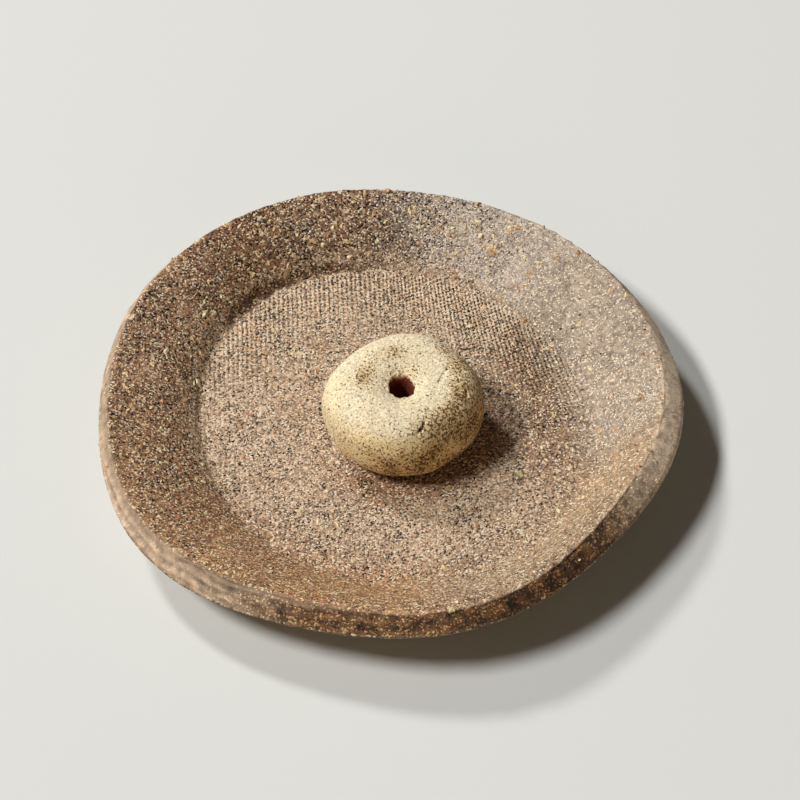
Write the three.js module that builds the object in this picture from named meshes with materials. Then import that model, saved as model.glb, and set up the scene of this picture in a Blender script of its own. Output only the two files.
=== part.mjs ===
// Incense dish: a hand-pressed stoneware dish and the loose clay pebble that holds the stick.
// Millimetres, +Z up. The origin is on the table, under the middle of the dish.
import * as THREE from "three";

// Dish: overall sizes
const RIM_RADIUS = 51.1; // from the middle to the crest of the rim
const RIM_HEIGHT = 13.9; // from the table to the crest of the rim
const RIM_FACE = 3.75; // width of the rim's outer face, where the slab was cut, down to its lower corner
const FLOOR_RADIUS = 37.2; // of the cloth-covered pad that pressed the floor
const FLOOR_THICKNESS = 5.5;
const FOOT_RADIUS = 37; // of the flat that stands on the table

// Dish: the rim's outer face and the underside, which follows the wall
const RIM_FACE_SLOPE = 57; // degrees, how steeply the face falls outwards
const WORN_SLOPE = 24; // degrees less where handling wore the face flatter
const WORN_SIDE = -22; // degrees, the middle of that stretch of the rim
const WORN_NARROWNESS = 8; // the higher, the shorter the worn stretch
const CREST_ROUND = 0.6; // radius of the edge between the wall and the face
const CORNER_ROUND = 1.3; // radius of the face's lower corner
const UNDERSIDE_SLOPE = 28; // degrees, of the underside just below the rim
const FOOT_SLOPE = 12; // degrees, of the underside beside the flat foot

// Dish: the wall between the floor and the rim
const RIM_SLOPE = 16; // degrees, of the wall just inside the rim
const WALL_SLOPE = 24; // degrees, of the wall at its foot, on the shallow side
const PRESSED_SLOPE = 22; // degrees more on the side where the pad sank deepest
const STEP_HEIGHT = 0.9; // how far the pad sank below the foot of the wall, at most
const STEP_LEAST = 0.15; // the same on the opposite side
const STEP_RUN = 1.6; // width of the little slope that the pad's edge left
const PRESSED_SIDE = 130; // degrees, the side where the pad sank deepest

// Dish: swells left by the hand, each [times round, millimetres, direction of a crest in degrees]
const RIM_SWELLS = [[2, 0.35, 55], [3, 0.4, 20], [4, 0.65, 27], [5, 0.45, 1], [6, 0.25, -14]];
const RIM_LIFTS = [[1, 0.1, -82], [2, 0.35, -67], [3, 0.1, -42]];
const FACE_SWELLS = [[1, 0.2, 101], [2, 0.45, -77], [3, 0.8, -6]];
const FLOOR_SWELLS = [[1, 1.6, -17], [2, 1.8, -54], [3, 0.9, -5]];

// Stick holder: a pebble with a dimple on top and a hole right through
const HOLDER_RADIUS = 14.2;
const HOLDER_HEIGHT = 14;
const HOLDER_CREST_RADIUS = 7.6; // of the highest ring, round the dimple
const HOLDER_FULLNESS = 0.66; // how far the flank bulges: 0.55 is an ellipse, and 1 is square
const DIMPLE_DEPTH = 1.1;
const HOLE_DIAMETER = 4.4;
const MOUTH_DIAMETER = 5.2; // where the stick that made the hole flared its upper edge
const MOUTH_DEPTH = 1.4;
const HOLE_BREAK = 0.4; // the blunted lower edge of the hole
const HOLDER_PLACE = [3.8, -3.3]; // middle of the holder on the floor
const HOLDER_SWELLS = [[2, 0.3, 32], [3, 0.2, -39], [4, 0.3, -2]];
const HOLE_SHIFT = [[1, 0.65, -120]]; // the hole isn't quite in the middle
const MOUTH_SWELLS = [[2, 0.3, 90]]; // the stick was rocked to and fro

// Facets
const DISH_SEGMENTS = 112;
const HOLDER_SEGMENTS = 60;

const degrees = THREE.MathUtils.degToRad;

// Sum of slow waves round the middle, for a direction in radians.
function swell(angle, waves) {
  return waves.reduce(
    (sum, [times, size, crest]) => sum + size * Math.cos(times * (angle - degrees(crest))),
    0,
  );
}

function point(x, y) {
  return new THREE.Vector2(x, y);
}

// The point that lies a distance away from another, in a direction given in radians.
function stepFrom(start, direction, distance) {
  return point(
    start.x + distance * Math.cos(direction),
    start.y + distance * Math.sin(direction),
  );
}

// Points along curves that meet end to end, each given with its number of steps.
function pointsAlong(...stretches) {
  const points = [stretches[0][0].getPoint(0)];
  for (const [curve, steps] of stretches) {
    for (let i = 1; i <= steps; i++) points.push(curve.getPoint(i / steps));
  }
  return points;
}

// A body turned round the Z axis from a section (distance out, height) that changes on the way.
function turned(sectionAt, segments) {
  const count = sectionAt(0).length;
  const geometry = new THREE.LatheGeometry(sectionAt(0), segments);
  const position = geometry.attributes.position;
  for (let s = 0; s <= segments; s++) {
    const angle = ((s % segments) / segments) * 2 * Math.PI;
    sectionAt(angle).forEach(({ x: out, y: height }, i) => {
      position.setXYZ(s * count + i, out * Math.cos(angle), out * Math.sin(angle), height);
    });
  }
  geometry.computeVertexNormals();
  return geometry;
}

// How deep the pad sank on this side: 1 on the pressed side, 0 on the opposite one.
function pressed(angle) {
  return ((1 + Math.cos(angle - degrees(PRESSED_SIDE))) / 2) ** 1.5;
}

// How far handling wore the rim's face flatter on this side, from 0 to 1.
function worn(angle) {
  return ((1 + Math.cos(angle - degrees(WORN_SIDE))) / 2) ** WORN_NARROWNESS;
}

// An arc from one direction to another, in radians.
function arc(centre, radius, from, to) {
  return new THREE.EllipseCurve(centre.x, centre.y, radius, radius, from, to);
}

// A smooth curve between two points, for the direction to leave the first in and to come from at
// the last, in degrees.
function sweep(start, leaving, end, coming) {
  const handle = start.distanceTo(end) / 3;
  return new THREE.CubicBezierCurve(
    start,
    stepFrom(start, degrees(leaving), handle),
    stepFrom(end, degrees(coming), handle),
    end,
  );
}

// The dish cut through on one side: underside, lower corner, face, crest, wall, step and floor.
function dishSection(angle) {
  const rim = point(RIM_RADIUS + swell(angle, RIM_SWELLS), RIM_HEIGHT + swell(angle, RIM_LIFTS));
  const wallUp = degrees(90 + RIM_SLOPE);
  const faceSlope = RIM_FACE_SLOPE - WORN_SLOPE * worn(angle);
  const faceUp = degrees(90 - faceSlope);
  const undersideDown = degrees(UNDERSIDE_SLOPE - 90);
  const toCrest = CREST_ROUND / Math.cos((wallUp - faceUp) / 2);
  const crestMiddle = stepFrom(rim, Math.PI + (wallUp + faceUp) / 2, toCrest);
  const faceEnd = stepFrom(rim, degrees(-faceSlope), RIM_FACE + swell(angle, FACE_SWELLS));
  const cornerMiddle = stepFrom(faceEnd, Math.PI + faceUp, CORNER_ROUND);
  const cornerEnd = stepFrom(cornerMiddle, undersideDown, CORNER_ROUND);
  const faceTop = stepFrom(crestMiddle, faceUp, CREST_ROUND);
  const wallTop = stepFrom(crestMiddle, wallUp, CREST_ROUND);

  const floorEdge = point(FLOOR_RADIUS + swell(angle, FLOOR_SWELLS), FLOOR_THICKNESS);
  const sunk = THREE.MathUtils.lerp(STEP_LEAST, STEP_HEIGHT, pressed(angle));
  const wallFoot = point(floorEdge.x, floorEdge.y + sunk);
  const footOfWall = WALL_SLOPE + PRESSED_SLOPE * pressed(angle);
  const floorStart = point(floorEdge.x - STEP_RUN, floorEdge.y);
  const stepBend = point(floorEdge.x - 0.2 * STEP_RUN, floorEdge.y);
  const foot = point(FOOT_RADIUS, 0);
  return pointsAlong(
    [new THREE.LineCurve(point(0, 0), foot), 2],
    [sweep(foot, FOOT_SLOPE, cornerEnd, 180 + UNDERSIDE_SLOPE), 9],
    [arc(cornerMiddle, CORNER_ROUND, undersideDown, faceUp), 6],
    [new THREE.LineCurve(faceEnd, faceTop), 1],
    [arc(crestMiddle, CREST_ROUND, faceUp, wallUp), 4],
    [sweep(wallTop, 180 + RIM_SLOPE, wallFoot, footOfWall), 10],
    [new THREE.QuadraticBezierCurve(wallFoot, stepBend, floorStart), 3],
    [new THREE.LineCurve(floorStart, point(0, floorEdge.y)), 3],
  );
}

// The holder cut through on one side: base, round flank, dimple, flared mouth and hole.
function holderSection(angle) {
  const waist = point(HOLDER_RADIUS + swell(angle, HOLDER_SWELLS), HOLDER_HEIGHT / 2);
  const crest = point(HOLDER_CREST_RADIUS, HOLDER_HEIGHT);
  const bulge = HOLDER_FULLNESS * (waist.x - crest.x);
  const throat = point(
    HOLE_DIAMETER / 2 + swell(angle, HOLE_SHIFT),
    HOLDER_HEIGHT - DIMPLE_DEPTH - MOUTH_DEPTH,
  );
  const flared = (MOUTH_DIAMETER - HOLE_DIAMETER) / 2 + swell(angle, MOUTH_SWELLS);
  const mouth = point(throat.x + flared, throat.y + MOUTH_DEPTH);
  const holeEnd = point(throat.x, HOLE_BREAK);
  const baseEdge = point(throat.x + HOLE_BREAK, 0);
  const baseRim = point(HOLDER_CREST_RADIUS, 0);
  const lowerFlank = new THREE.CubicBezierCurve(
    baseRim,
    point(baseRim.x + bulge, 0),
    point(waist.x, waist.y * (1 - HOLDER_FULLNESS)),
    waist,
  );
  const upperFlank = new THREE.CubicBezierCurve(
    waist,
    point(waist.x, waist.y * (1 + HOLDER_FULLNESS)),
    point(crest.x + bulge, crest.y),
    crest,
  );
  const dimple = new THREE.CubicBezierCurve(
    crest,
    point((crest.x + mouth.x) / 2, crest.y),
    point(0.2 * crest.x + 0.8 * mouth.x, mouth.y + 0.45 * DIMPLE_DEPTH),
    mouth,
  );
  const flare = new THREE.QuadraticBezierCurve(mouth, point(throat.x, mouth.y - 0.5), throat);
  return pointsAlong(
    [new THREE.LineCurve(holeEnd, baseEdge), 1],
    [new THREE.LineCurve(baseEdge, baseRim), 2],
    [lowerFlank, 9],
    [upperFlank, 9],
    [dimple, 6],
    [flare, 4],
    [new THREE.LineCurve(throat, holeEnd), 4],
  );
}

function dish() {
  const clay = new THREE.MeshStandardMaterial({ color: "#9b7a5e", roughness: 0.92, metalness: 0 });
  const mesh = new THREE.Mesh(turned(dishSection, DISH_SEGMENTS), clay);
  mesh.name = "dish";
  return mesh;
}

function stickHolder() {
  const clay = new THREE.MeshStandardMaterial({ color: "#d9c299", roughness: 0.95, metalness: 0 });
  const mesh = new THREE.Mesh(turned(holderSection, HOLDER_SEGMENTS), clay);
  mesh.name = "stick_holder";
  mesh.position.set(...HOLDER_PLACE, FLOOR_THICKNESS);
  return mesh;
}

const incenseDish = new THREE.Group();
incenseDish.add(dish(), stickHolder());

export default incenseDish;
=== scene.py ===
import math

import bpy
import numpy as np
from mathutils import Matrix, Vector, noise
from mathutils.geometry import delaunay_2d_cdt


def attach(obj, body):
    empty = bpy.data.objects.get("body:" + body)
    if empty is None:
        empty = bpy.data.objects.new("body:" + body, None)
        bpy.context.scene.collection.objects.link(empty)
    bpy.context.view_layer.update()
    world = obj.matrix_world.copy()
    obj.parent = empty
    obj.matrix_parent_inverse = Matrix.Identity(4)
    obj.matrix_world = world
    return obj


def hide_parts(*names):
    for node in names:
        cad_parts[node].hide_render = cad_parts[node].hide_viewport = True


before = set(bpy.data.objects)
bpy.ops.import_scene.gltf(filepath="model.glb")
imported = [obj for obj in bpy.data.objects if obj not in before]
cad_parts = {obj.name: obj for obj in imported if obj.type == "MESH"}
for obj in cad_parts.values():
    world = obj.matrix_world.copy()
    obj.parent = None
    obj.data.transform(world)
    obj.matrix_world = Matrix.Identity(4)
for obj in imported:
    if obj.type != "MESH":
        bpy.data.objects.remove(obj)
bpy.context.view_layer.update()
scene = bpy.context.scene

# Camera. The photograph looks down at the dish from about half way up, with a long lens that hardly
# narrows the far side of the rim.
CAMERA_ELEVATION = math.radians(49.4)
CAMERA_DISTANCE = 0.52
CAMERA_AIM = Vector((0.0032, 0.0086, 0.0))
CAMERA_LENS_MM = 124.5

camera_data = bpy.data.cameras.new("photo_camera")
camera_data.lens = CAMERA_LENS_MM
camera_data.clip_start = 0.01
camera_data.clip_end = 20.0
camera = bpy.data.objects.new("photo_camera", camera_data)
scene.collection.objects.link(camera)
towards_camera = Vector((0, -math.cos(CAMERA_ELEVATION), math.sin(CAMERA_ELEVATION)))
camera.location = CAMERA_AIM + CAMERA_DISTANCE * towards_camera
camera.rotation_euler = towards_camera.to_track_quat("Z", "Y").to_euler()
scene.camera = camera
scene.view_settings.view_transform = "Standard"

# Light. A soft lamp stands behind on the left, and one as wide as a window at the left. So the dish's
# shadow falls to the right in full and to the front by half, and a dim even world fills it.
LAMP_DISTANCE = 3.4
WHITE = (1, 1, 1)
WARM = (1, 0.86, 0.68)
FILL = 0.05
# Name, azimuth and elevation in degrees, width and height in metres, watts and colour.
LAMPS = (
    ("back_left_light", 132, 42, 0.47, 0.47, 51, WHITE),
    ("left_light", 187, 52, 1.2, 0.51, 86, WHITE),
    ("front_fill", -85, 20, 2.3, 1.0, 7, WARM),
)


def add_lamp(name, azimuth, elevation, width, height, power, colour):
    """An oval soft lamp that looks at the middle of the table, from a direction in degrees."""
    azimuth, elevation = math.radians(azimuth), math.radians(elevation)
    towards = Vector((
        math.cos(azimuth) * math.cos(elevation),
        math.sin(azimuth) * math.cos(elevation),
        math.sin(elevation),
    ))
    data = bpy.data.lights.new(name, "AREA")
    data.shape = "ELLIPSE"
    data.size = width
    data.size_y = height
    data.energy = power
    data.color = colour
    lamp = bpy.data.objects.new(name, data)
    scene.collection.objects.link(lamp)
    lamp.location = LAMP_DISTANCE * towards
    lamp.rotation_euler = towards.to_track_quat("Z", "Y").to_euler()


for lamp in LAMPS:
    add_lamp(*lamp)
scene.world = bpy.data.worlds.new("even_fill")
scene.world.use_nodes = True
background = scene.world.node_tree.nodes["Background"]
background.inputs["Color"].default_value = (*WARM, 1)
background.inputs["Strength"].default_value = FILL

# Table. A plain pale matte surface, far wider than the view.
TABLE_SIZE = 6.0
TABLE_COLOUR = (0.77, 0.775, 0.735, 1)
TABLE_ROUGHNESS = 0.9

bpy.ops.mesh.primitive_plane_add(size=TABLE_SIZE)
table = bpy.context.object
table.name = "table"
table_paint = bpy.data.materials.new("table_paint")
table_paint.use_nodes = True
table_surface = table_paint.node_tree.nodes["Principled BSDF"]
table_surface.inputs["Base Color"].default_value = TABLE_COLOUR
table_surface.inputs["Roughness"].default_value = TABLE_ROUGHNESS
table.data.materials.append(table_paint)

# Dish. A slab of coarse brown stoneware, pressed by hand with a round pad under a linen cloth. The
# pad sank deepest at the back left and left a small step there, and the cloth left its print. The
# slab's edge, cut askew, is the outer face of the rim. A direction named _SIDE is in degrees.
MM = 0.001
RIM_RADIUS_MM = 51.1
RIM_HEIGHT_MM = 13.9
RIM_FACE_MM = 3.75
RIM_FACE_SLOPE = math.radians(57)
WORN_SLOPE = math.radians(24)
WORN_SIDE = -22
WORN_NARROWNESS = 8
RIM_SLOPE = math.radians(16)
CREST_ROUND_MM = 0.6
CORNER_ROUND_MM = 1.3
UNDERSIDE_SLOPE = math.radians(28)
FOOT_SLOPE = math.radians(12)
FOOT_RADIUS_MM = 37
FLOOR_RADIUS_MM = 37.2
FLOOR_HEIGHT_MM = 5.5
WALL_SLOPE = math.radians(24)
PRESSED_SLOPE = math.radians(22)
PRESSED_SIDE = 130
STEP_HEIGHT_MM = 0.9
STEP_LEAST_MM = 0.15
STEP_RUN_MM = 1.6
RIM_SWELLS = ((2, 0.35, 55), (3, 0.4, 20), (4, 0.65, 27), (5, 0.45, 1), (6, 0.25, -14))
RIM_LIFTS = ((1, 0.1, -82), (2, 0.35, -67), (3, 0.1, -42))
FACE_SWELLS = ((1, 0.2, 101), (2, 0.45, -77), (3, 0.8, -6))
FLOOR_SWELLS = ((1, 1.6, -17), (2, 1.8, -54), (3, 0.9, -5))


def swell(angle, waves):
    """Sum of slow waves round the middle, each (times round, size, degrees of a crest)."""
    return sum(size * np.cos(times * (angle - math.radians(crest))) for times, size, crest in waves)


def between(a, b, share):
    """The value that lies this share of the way from one to another."""
    return a + (b - a) * share


def smooth(low, high, value):
    """0 below low, 1 above high, and a smooth rise between them."""
    share = np.clip((value - low) / (high - low), 0, 1)
    return share * share * (3 - 2 * share)


def bezier(points, share):
    """A point on the curve with these control points, for arrays of them."""
    points = list(points)
    while len(points) > 1:
        points = [between(a, b, share) for a, b in zip(points, points[1:])]
    return points[0]


def step_from(start, direction, distance):
    """The point a distance away from another in a section, where points are (out, up)."""
    level = np.zeros_like(start[0])
    return start + distance * np.stack([np.cos(direction) + level, np.sin(direction) + level])


def sweep(start, leaving, end, coming):
    """Control points of a smooth curve that leaves and reaches its ends in these directions."""
    handle = np.hypot(*(end - start)) / 3
    return start, step_from(start, leaving, handle), step_from(end, coming, handle), end


def pressed(angle):
    """1 on the side where the pad sank deepest, 0 on the opposite one."""
    return ((1 + np.cos(angle - math.radians(PRESSED_SIDE))) / 2) ** 1.5


def floor_edge(angle):
    return FLOOR_RADIUS_MM + swell(angle, FLOOR_SWELLS)


def rim_crest(angle):
    out = RIM_RADIUS_MM + swell(angle, RIM_SWELLS)
    return np.stack([out, RIM_HEIGHT_MM + swell(angle, RIM_LIFTS)])


WALL_UP = math.pi / 2 + RIM_SLOPE
UNDERSIDE_DOWN = UNDERSIDE_SLOPE - math.pi / 2


def face_up(angle):
    """Direction square to the rim's face, which handling wore flatter at the front right."""
    worn = ((1 + np.cos(angle - math.radians(WORN_SIDE))) / 2) ** WORN_NARROWNESS
    return math.pi / 2 - RIM_FACE_SLOPE + WORN_SLOPE * worn


def crest_middle(angle):
    """Centre of the small round between the wall and the rim's face."""
    away = CREST_ROUND_MM / np.cos((WALL_UP - face_up(angle)) / 2)
    return step_from(rim_crest(angle), math.pi + (WALL_UP + face_up(angle)) / 2, away)


def wall_curve(angle):
    """Control points of the inner wall from the crest to its foot."""
    top = step_from(crest_middle(angle), WALL_UP, CREST_ROUND_MM)
    foot_up = FLOOR_HEIGHT_MM + between(STEP_LEAST_MM, STEP_HEIGHT_MM, pressed(angle))
    foot = np.stack([floor_edge(angle), foot_up])
    return sweep(top, math.pi + RIM_SLOPE, foot, WALL_SLOPE + PRESSED_SLOPE * pressed(angle))


def wall_share(angle, out):
    """How far down the wall's curve the point at this distance out lies, by halving."""
    outs = [place[0] for place in wall_curve(angle)]
    low, high = np.zeros_like(angle), np.ones_like(angle)
    for _ in range(24):
        middle = (low + high) / 2
        beyond = bezier(outs, middle) > out
        low = np.where(beyond, middle, low)
        high = np.where(beyond, high, middle)
    return (low + high) / 2


def bowl_height(x, y):
    """Height of the floor, the pressed step and the lower wall over a point."""
    angle, out = np.arctan2(y, x), np.hypot(x, y)
    edge = floor_edge(angle)
    ups = [place[1] for place in wall_curve(angle)]
    wall = bezier(ups, wall_share(angle, out))
    into = np.clip((edge - out) / STEP_RUN_MM, 0, 1)
    share = (np.sqrt(0.16 + 2.4 * into) - 0.4) / 1.2
    step = FLOOR_HEIGHT_MM + (ups[3] - FLOOR_HEIGHT_MM) * (1 - share) ** 2
    return np.where(out > edge, wall, step)


# The cloth's threads run nearly straight away from the viewer and are pulled askew at the right.
THREAD_MM = 0.88
THREAD_STEPS = 3
COLUMN_LEAN = 0.05
COLUMN_PULL = 0.008
ROW_LEAN = 0.35
ROW_PULL = 0.004
PRINT_REACH_MM = 3.0
NET_REACH = 70


def column_lean(x):
    return COLUMN_LEAN + COLUMN_PULL * np.maximum(x, 0)


def threads_at(x, y):
    """Threads counted across and along the cloth to a point."""
    across = x + column_lean(x) * y
    along = y - ROW_LEAN * x - ROW_PULL * x * x
    return across / THREAD_MM, along / THREAD_MM


def place_of(across, along):
    """The point under a thread count: the reverse of threads_at, by halving."""
    low, high = np.full_like(across, -80.0), np.full_like(across, 80.0)
    for _ in range(36):
        x = (low + high) / 2
        y = along * THREAD_MM + ROW_LEAN * x + ROW_PULL * x * x
        short = x + column_lean(x) * y < across * THREAD_MM
        low = np.where(short, x, low)
        high = np.where(short, high, x)
    return x, y


def printed_net():
    """The floor as one net that follows the threads: points, faces, outline and filled cells."""
    counts = np.arange(-NET_REACH * THREAD_STEPS, NET_REACH * THREAD_STEPS + 1) / THREAD_STEPS
    across, along = np.meshgrid(counts, counts, indexing="ij")
    x, y = place_of(across.ravel(), along.ravel())
    inside = np.hypot(x, y) < floor_edge(np.arctan2(y, x)) + PRINT_REACH_MM - 0.2
    number = np.arange(x.size).reshape(across.shape)
    keep = inside.reshape(across.shape)
    filled = keep[:-1, :-1] & keep[1:, :-1] & keep[1:, 1:] & keep[:-1, 1:]
    corners = (number[:-1, :-1], number[1:, :-1], number[1:, 1:], number[:-1, 1:])
    quads = np.stack([corner[filled] for corner in corners], axis=1)
    used, quads = np.unique(quads, return_inverse=True)
    quads = quads.reshape(-1, 4)
    x, y = x[used], y[used]
    outline = {}
    for quad in quads.tolist():
        for a, b in zip(quad, quad[1:] + quad[:1]):
            if (b, a) in outline:
                del outline[(b, a)]
            else:
                outline[(a, b)] = True
    return np.stack([x, y, bowl_height(x, y)], axis=1), quads, list(outline), filled


ROUND_STEPS = 576
WALL_RINGS = 20
CREST_RINGS = 4
FACE_RINGS = 11
CORNER_RINGS = 6
UNDERSIDE_RINGS = 10
FOOT_RINGS = 6


def rings_from(angle):
    """The rings from the print's edge up the wall, over the rim and down to the middle of the foot."""
    wall = wall_curve(angle)
    lowest = wall_share(angle, floor_edge(angle) + PRINT_REACH_MM)
    middle, outwards = crest_middle(angle), face_up(angle)
    face_top = step_from(middle, outwards, CREST_ROUND_MM)
    face_width = RIM_FACE_MM + swell(angle, FACE_SWELLS)
    face_end = step_from(rim_crest(angle), outwards - math.pi / 2, face_width)
    corner = step_from(face_end, math.pi + outwards, CORNER_ROUND_MM)
    corner_end = step_from(corner, UNDERSIDE_DOWN, CORNER_ROUND_MM)
    foot = np.stack([FOOT_RADIUS_MM + 0 * angle, 0 * angle])
    underside = sweep(corner_end, math.pi + UNDERSIDE_SLOPE, foot, FOOT_SLOPE)
    rings = [bezier(wall, lowest * share) for share in np.linspace(1, 0, WALL_RINGS)]
    for turn in np.linspace(WALL_UP, outwards, CREST_RINGS + 1)[1:]:
        rings.append(step_from(middle, turn, CREST_ROUND_MM))
    rings += [between(face_top, face_end, share) for share in np.linspace(0, 1, FACE_RINGS + 1)[1:]]
    for turn in np.linspace(outwards, UNDERSIDE_DOWN, CORNER_RINGS + 1)[1:]:
        rings.append(step_from(corner, turn, CORNER_ROUND_MM))
    rings += [bezier(underside, share) for share in np.linspace(0, 1, UNDERSIDE_RINGS + 1)[1:]]
    rings += [foot * share for share in np.linspace(1, 0, FOOT_RINGS + 1)[1:-1]]
    return rings


def turned(angle, ring):
    """Points round the Z axis from a ring's distances out and heights."""
    out, up = ring
    return np.stack([out * np.cos(angle), out * np.sin(angle), up], axis=1)


def dish_surface():
    """The whole dish as one closed net, before its finer relief: points and faces."""
    net, quads, outline, filled = printed_net()
    angle = np.arange(ROUND_STEPS) * 2 * math.pi / ROUND_STEPS
    rings = rings_from(angle)
    points = [net] + [turned(angle, ring) for ring in rings] + [np.zeros((1, 3))]
    faces = quads.tolist()
    base = len(net)
    for ring in range(len(rings) - 1):
        inner, outer = base + ring * ROUND_STEPS, base + (ring + 1) * ROUND_STEPS
        for s in range(ROUND_STEPS):
            t = (s + 1) % ROUND_STEPS
            faces.append([inner + s, outer + s, outer + t, inner + t])
    last, centre = base + (len(rings) - 1) * ROUND_STEPS, base + len(rings) * ROUND_STEPS
    faces += [[last + s, centre, last + (s + 1) % ROUND_STEPS] for s in range(ROUND_STEPS)]
    points = np.concatenate(points)
    first_ring = [(base + s, base + (s + 1) % ROUND_STEPS) for s in range(ROUND_STEPS)]
    return points, faces + stitch(points, outline, first_ring, filled)


def stitch(points, outline, ring, filled):
    """Triangles between the printed net's stepped outline and the first ring of the wall."""
    ends = sorted({v for edge in outline + ring for v in edge})
    place = {v: i for i, v in enumerate(ends)}
    flat = [Vector(points[v][:2]) for v in ends]
    lines = [(place[a], place[b]) for a, b in outline + ring]
    corners, _, triangles, origins, _, _ = delaunay_2d_cdt(flat, lines, [], 0, 1e-7)
    made = []
    for triangle in triangles:
        x, y = np.mean([corners[i] for i in triangle], axis=0)
        across, along = threads_at(x, y)
        column = int(math.floor((across + NET_REACH) * THREAD_STEPS))
        row = int(math.floor((along + NET_REACH) * THREAD_STEPS))
        if not filled[column, row] and math.hypot(x, y) < floor_edge(math.atan2(y, x)) + PRINT_REACH_MM:
            made.append([ends[origins[i][0]] for i in triangle])
    return made


def solid_from(name, points, faces):
    """A mesh object with its place in its mesh, smooth, from points in millimetres."""
    mesh = bpy.data.meshes.new(name)
    mesh.from_pydata((points * MM).tolist(), [], faces)
    mesh.polygons.foreach_set("use_smooth", np.ones(len(mesh.polygons), bool))
    mesh.update()
    made = bpy.data.objects.new(name, mesh)
    scene.collection.objects.link(made)
    return made


def rough(points, size, shift):
    """Smooth random values, about -1 to 1, in bumps of this size in millimetres. Each shift gives
    another pattern."""
    away = Vector((shift, 2.7 * shift, 0))
    return np.array([noise.noise(Vector(point) / size + away) for point in points.tolist()])


def normals_of(mesh):
    found = np.empty(3 * len(mesh.vertices), np.float32)
    mesh.vertex_normals.foreach_get("vector", found)
    return found.reshape(-1, 3).astype(float)


# Where things are on the dish. The floor stays flat under the holder's foot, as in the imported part.
HOLDER_PLACE_MM = np.array((3.8, -3.3, FLOOR_HEIGHT_MM))
HOLDER_FOOT_MM = 8.5
PRINT_SIDE = 88
STEP_SIDE = 118
PALE_SIDE = 35
WARM_SIDE = -105
SANDY_SIDE = -45
BROWN_SIDE = 8
COARSE_SIDE = 140
GRITTY_SIDE = -95
SMOOTH_SIDE = 0
GROG_SIDE = 120
FRONT_RIGHT = -40
PINK_SIDE = 3
RIM_BROWN_SIDE = -76
DARKER_FACE_SIDE = -53
DARKER_BACK_SIDE = 110
BLOOMED_SIDE = 64
HOLDER_SHADOW_SIDE = -62
# Chips in the crest: direction in degrees, reach and depth. The crack: direction and way down.
CHIPS = ((-48, 1.3, 0.5), (-53, 1.6, 0.45), (-71, 1.2, 0.35), (-26, 1.4, 0.3), (-152, 1.5, 0.3))
CRACK = ((-133, 1.4), (-128, 0.4), (-125, 1.0), (-122, 1.8), (-118, 1.4), (-113, 0.8))
CRACK_WIDTH_MM = 0.28
CRACK_DEPTH_MM = 0.15
CRACK_LOWEST_MM = 8
RIDGE_SPACING_MM = 1.7
RIDGE_SIDE = -128


def polar(points):
    """Each point's direction round the middle and its distance out."""
    return np.arctan2(points[:, 1], points[:, 0]), np.hypot(points[:, 0], points[:, 1])


def from_crest(points):
    """Each point's distance from the rim's crest."""
    angle, out = polar(points)
    crest_out, crest_up = rim_crest(angle)
    return np.hypot(out - crest_out, points[:, 2] - crest_up)


def toward(angle, side, least, most):
    """Rises from 0 to 1 as a direction turns towards a side, in degrees, between two cosines."""
    return smooth(least, most, np.cos(angle - math.radians(side)))


def zones(points, normals):
    """Masks, about 0 to 1: outer face, underside, wall, print, and the place under the holder."""
    angle, out = polar(points)
    edge, crest = floor_edge(angle), rim_crest(angle)[0]
    under = smooth(0.15, -0.2, normals[:, 2])
    face = smooth(crest - 0.4, crest + 0.3, out) * (1 - under)
    soft = between(9.0, 0.5, toward(angle, PRESSED_SIDE, -0.5, 0.6))
    wall = smooth(edge - soft, edge + 3, out) * (1 - face) * (1 - under)
    strength = smooth(0.45, 0.9, out / edge) * (0.25 + 0.75 * toward(angle, PRINT_SIDE, -0.1, 0.75))
    strength *= 1 + 0.35 * toward(angle, PALE_SIDE, 0.8, 0.97)
    cliff = toward(angle, STEP_SIDE, 0.6, 0.9)
    right = toward(angle, PALE_SIDE, 0.5, 0.95)
    fade = edge + between(-0.6, -1.9, np.maximum(cliff, 0.4 * right))
    strength *= (1 - smooth(fade, fade + between(1.8, 0.9, cliff), out)) * (1 - under)
    held = smooth(HOLDER_FOOT_MM + 3, HOLDER_FOOT_MM, polar(points - HOLDER_PLACE_MM)[1])
    return face, under, wall, strength, held


def rim_ridges(points):
    """-1 to 1, low ridges along the rim's face at the front left, which the cut left."""
    ridges = np.sin(2 * math.pi * from_crest(points) / RIDGE_SPACING_MM + 4 * rough(points, 9, 131))
    return ridges * toward(polar(points)[0], RIDGE_SIDE, 0.5, 0.9)


def crack_mask(points):
    """1 along the drying crack that wanders over the rim's face at the front left."""
    angle, out = polar(points)
    turn = np.degrees(angle)
    sides, depths = zip(*CRACK)
    line = np.interp(turn, sides, depths) + 0.25 * rough(points, 0.9, 61)
    ends = smooth(sides[0] - 1, sides[0] + 2, turn) * smooth(sides[-1] + 1, sides[-1] - 2, turn)
    ends *= smooth(-0.25, 0.15, rough(points, 1.8, 103))
    on_face = (out > rim_crest(angle)[0] - 0.2) * (points[:, 2] > CRACK_LOWEST_MM)
    return ends * smooth(CRACK_WIDTH_MM, 0, np.abs(from_crest(points) - line)) * on_face


COLUMN_DEPTH_MM = 0.11
ROW_DEPTH_MM = 0.07
WEAVE_DEPTH_MM = 0.06
CREVICE_DEPTH_MM = 0.28
RIDGE_HEIGHT_MM = 0.15
TORN_SIDE = -45


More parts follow.
